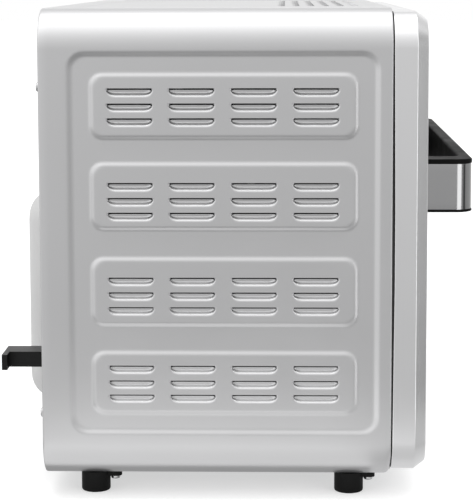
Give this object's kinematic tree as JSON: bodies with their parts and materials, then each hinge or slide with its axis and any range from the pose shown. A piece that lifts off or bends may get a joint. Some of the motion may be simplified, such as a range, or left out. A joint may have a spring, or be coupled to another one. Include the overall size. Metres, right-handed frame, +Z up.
{
  "type": "toaster oven",
  "caption": "Counter-top toaster oven in satin steel with louvred sides, drop-down glass door, bow handle, sliding rack and crumb tray, and a rear convection fan.",
  "frame": {"origin": "on the surface the oven stands on, under the middle of its bounding box", "axes": "+Z up, the door and handle face -Y, X runs across the oven's width; the side panels are at -X and +X"},
  "size_m": [0.5184, 0.3544, 0.3566],
  "materials": {
    "casing_steel": "satin silver sheet",
    "bezel_steel": "satin stainless",
    "galvanised": "zinc-coated sheet",
    "cavity_coating": "dark grey non-stick coating",
    "black_plastic": "fine-grained black moulding",
    "grip_plastic": "satin black moulding",
    "black_gloss": "high-gloss black",
    "display": "smoked window",
    "display_body": "display module",
    "button": "satin black key",
    "board": "circuit board",
    "rubber": "black",
    "screw": "zinc-plated",
    "glass": "clear tempered",
    "door_steel": "brushed stainless",
    "handle_steel": "polished satin stainless",
    "wire": "bright wire",
    "tray": "aluminised sheet",
    "heater": "oxidised sheath",
    "ceramic": "white ceramic",
    "fan_alu": "mill finish",
    "shaft": "ground steel",
    "iron": "lamination stack",
    "bronze": "sintered bush",
    "lamp_glass": "clear",
    "spring": "spring wire"
  },
  "bodies": {
    "body": {"casing_wrap": "casing_steel", "base_plate": "galvanised", "back_panel": "galvanised", "rear_motor_housing": "galvanised", "cord_hooks": "black_plastic", "feet": "rubber", "foot_screws": "screw", "back_screws": "screw", "cord_gland": "black_plastic", "chassis_front": "galvanised", "front_frame": "bezel_steel", "control_panel": "black_gloss", "display_lens": "display", "display_module": "display_body", "control_board": "board", "cavity_shell": "cavity_coating", "rack_guides": "cavity_coating", "cavity_brackets": "galvanised", "tray_rails": "galvanised", "upper_heaters": "heater", "lower_heaters": "heater", "heater_bushes": "ceramic", "temperature_probe": "shaft", "thermal_cutoff": "ceramic", "lamp_lens": "lamp_glass", "oven_lamp": "ceramic", "fan_chamber": "cavity_coating", "fan_cover": "cavity_coating", "motor_bracket": "galvanised", "motor_stator": "iron", "motor_bushes": "bronze", "heat_shield": "galvanised", "power_board": "board", "hinge_pins": "shaft", "hinge_brackets": "galvanised"},
    "door": {"door_frame": "door_steel", "door_glass_outer": "glass", "door_glass_inner": "glass", "glass_spacer": "black_plastic", "door_inner_panel": "cavity_coating", "door_hinge_plates": "galvanised", "door_springs": "spring", "hinge_screws": "screw", "handle_core": "grip_plastic", "handle_band": "handle_steel", "handle_screws": "screw", "rack_catches": "iron"},
    "rack": {"wire_rack": "wire"},
    "tray": {"crumb_tray": "tray"},
    "fan": {"convection_fan": "fan_alu", "fan_shaft": "shaft", "motor_rotor": "iron", "motor_cooling_fan": "fan_alu"},
    "button_light": {"button_light": "button"},
    "button_fan": {"button_fan": "button"},
    "button_mode": {"button_mode": "button"},
    "button_minus": {"button_minus": "button"},
    "button_plus": {"button_plus": "button"},
    "button_start": {"button_start": "button"}
  },
  "joints": [
    {"name": "door_hinge", "type": "hinge", "parent": "body", "child": "door", "pos_m": [0, -0.133, 0.052], "axis": [1, 0, 0], "range_deg": [0, 90]},
    {"name": "rack_slide", "type": "slide", "parent": "body", "child": "rack", "axis": [0, -1, 0], "range_m": [0, 0.126]},
    {"name": "tray_slide", "type": "slide", "parent": "body", "child": "tray", "axis": [0, -1, 0], "range_m": [0, 0.14]},
    {"name": "fan_spin", "type": "hinge", "parent": "body", "child": "fan", "pos_m": [0, 0.12, 0.1255], "axis": [0, 1, 0], "continuous": true},
    {"name": "button_light_press", "type": "slide", "parent": "body", "child": "button_light", "axis": [0, 1, 0], "range_m": [0, 0.0008], "stiffness_N_per_m": 900, "springref_m": -0.0004},
    {"name": "button_fan_press", "type": "slide", "parent": "body", "child": "button_fan", "axis": [0, 1, 0], "range_m": [0, 0.0008], "stiffness_N_per_m": 900, "springref_m": -0.0004},
    {"name": "button_mode_press", "type": "slide", "parent": "body", "child": "button_mode", "axis": [0, 1, 0], "range_m": [0, 0.0008], "stiffness_N_per_m": 900, "springref_m": -0.0004},
    {"name": "button_minus_press", "type": "slide", "parent": "body", "child": "button_minus", "axis": [0, 1, 0], "range_m": [0, 0.0008], "stiffness_N_per_m": 900, "springref_m": -0.0004},
    {"name": "button_plus_press", "type": "slide", "parent": "body", "child": "button_plus", "axis": [0, 1, 0], "range_m": [0, 0.0008], "stiffness_N_per_m": 900, "springref_m": -0.0004},
    {"name": "button_start_press", "type": "slide", "parent": "body", "child": "button_start", "axis": [0, 1, 0], "range_m": [0, 0.0008], "stiffness_N_per_m": 900, "springref_m": -0.0004}
  ],
  "couplings": [
    {"joint": "rack_slide", "follows": "door_hinge", "m_per_rad": 0.08}
  ]
}
